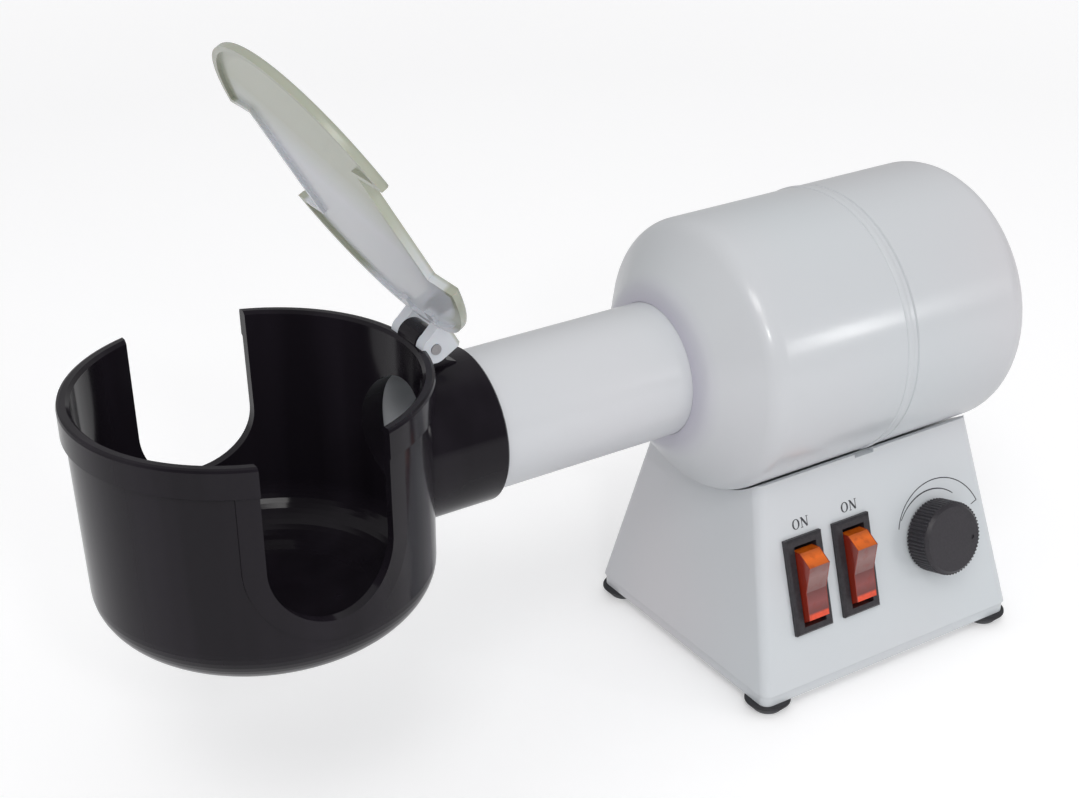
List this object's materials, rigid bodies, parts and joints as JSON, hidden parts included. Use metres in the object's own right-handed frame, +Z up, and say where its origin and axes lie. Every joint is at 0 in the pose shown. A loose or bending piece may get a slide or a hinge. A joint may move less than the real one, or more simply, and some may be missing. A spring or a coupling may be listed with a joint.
{
  "type": "eyeglass frame warmer",
  "caption": "Bench-top hot-air warmer for eyeglass frames: a fan and heater drum on a sloped control base blows along a tube into a slotted cup with a hinged lid.",
  "frame": {"origin": "on the table, under the middle of the whole object's length and width", "axes": "+X from the cup to the drum, control panel towards -Y, +Z up"},
  "size_m": [0.2962, 0.0964, 0.2226],
  "materials": {
    "shell_paint": "smooth pale grey-white enamel",
    "pan_paint": "smooth pale grey-white enamel",
    "foot_rubber": "matt",
    "foot_screw_steel": "zinc plated",
    "power_bezel": "satin",
    "power_lens": "lit translucent orange",
    "heat_bezel": "satin",
    "heat_lens": "lit translucent orange",
    "tab_brass": "plain",
    "knob_plastic": "fine ribbed satin",
    "dial_shaft_steel": "turned",
    "dial_body_metal": "pressed",
    "dial_nut_steel": "zinc plated",
    "board_laminate": "solder resist",
    "standoff_nylon": "nylon",
    "board_part_cases": "moulded cases",
    "heatsink_aluminium": "extruded",
    "terminal_nylon": "nylon",
    "gland_nylon": "nylon",
    "saddle_screw_steel": "zinc plated",
    "saddle_nut_steel": "zinc plated",
    "grommet_rubber": "matt",
    "front_shell_paint": "smooth pale grey-white enamel",
    "rear_cover_paint": "smooth pale grey-white enamel",
    "cover_screw_steel": "zinc plated",
    "bracket_plastic": "glass-filled",
    "motor_screw_steel": "zinc plated",
    "motor_can_steel": "drawn",
    "endcap_nylon": "nylon",
    "magnet_ferrite": "sintered",
    "armature_iron": "laminated",
    "motor_shaft_steel": "ground",
    "fan_plastic": "glass-filled",
    "shield_steel": "bright sheet",
    "bracket_steel": "bright sheet",
    "heater_mica": "mica board",
    "coil_wire": "oxidised",
    "thermostat_ceramic": "ceramic",
    "tube_paint": "smooth pale grey-white enamel",
    "cup_gloss": "high gloss",
    "collar_screw_steel": "zinc plated",
    "lid_plastic": "translucent frosted grey-olive",
    "pin_steel": "ground"
  },
  "bodies": {
    "warmer": {"base_housing": "shell_paint", "bottom_pan": "pan_paint", "rubber_feet": "foot_rubber", "foot_screws": "foot_screw_steel", "power_switch_body": "power_bezel", "heat_switch_body": "heat_bezel", "switch_terminals": "tab_brass", "dial_body": "dial_body_metal", "dial_nut": "dial_nut_steel", "control_board": "board_laminate", "board_standoffs": "standoff_nylon", "board_parts": "board_part_cases", "triac_heatsink": "heatsink_aluminium", "terminal_block": "terminal_nylon", "cable_gland": "gland_nylon", "saddle_screws": "saddle_screw_steel", "saddle_nuts": "saddle_nut_steel", "wire_grommet": "grommet_rubber", "drum_front_shell": "front_shell_paint", "drum_rear_cover": "rear_cover_paint", "cover_screws": "cover_screw_steel", "motor_bracket": "bracket_plastic", "motor_screws": "motor_screw_steel", "motor_can": "motor_can_steel", "motor_endcap": "endcap_nylon", "motor_magnets": "magnet_ferrite", "heat_shield": "shield_steel", "shield_brackets": "bracket_steel", "heater_frame": "heater_mica", "heater_coil": "coil_wire", "thermostat": "thermostat_ceramic", "air_tube": "tube_paint", "cup": "cup_gloss", "collar_screw": "collar_screw_steel", "hinge_pin": "pin_steel"},
    "lid_body": {"lid": "lid_plastic"},
    "power_rocker_body": {"power_rocker": "power_lens"},
    "heat_rocker_body": {"heat_rocker": "heat_lens"},
    "knob_body": {"heat_knob": "knob_plastic", "dial_shaft": "dial_shaft_steel"},
    "fan_rotor": {"fan_impeller": "fan_plastic", "motor_shaft": "motor_shaft_steel", "motor_armature": "armature_iron"}
  },
  "joints": [
    {"name": "lid_hinge", "type": "hinge", "parent": "warmer", "child": "lid_body", "pos_m": [-0.04913, 0, 0.1356], "axis": [0, 1, 0], "range_deg": [-61.5, 35]},
    {"name": "power_rock", "type": "hinge", "parent": "warmer", "child": "power_rocker_body", "pos_m": [0.06177, -0.03374, 0.03745], "axis": [1, 0, 0], "range_deg": [-23, 0]},
    {"name": "heat_rock", "type": "hinge", "parent": "warmer", "child": "heat_rocker_body", "pos_m": [0.08098, -0.03374, 0.03745], "axis": [1, 0, 0], "range_deg": [-23, 0]},
    {"name": "knob_turn", "type": "hinge", "parent": "warmer", "child": "knob_body", "pos_m": [0.11447, -0.03624, 0.03817], "axis": [0, -0.9613, 0.2755], "range_deg": [-49, 251]},
    {"name": "fan_spin", "type": "hinge", "parent": "warmer", "child": "fan_rotor", "pos_m": [0.11, 0, 0.1058], "axis": [1, 0, 0], "continuous": true}
  ]
}
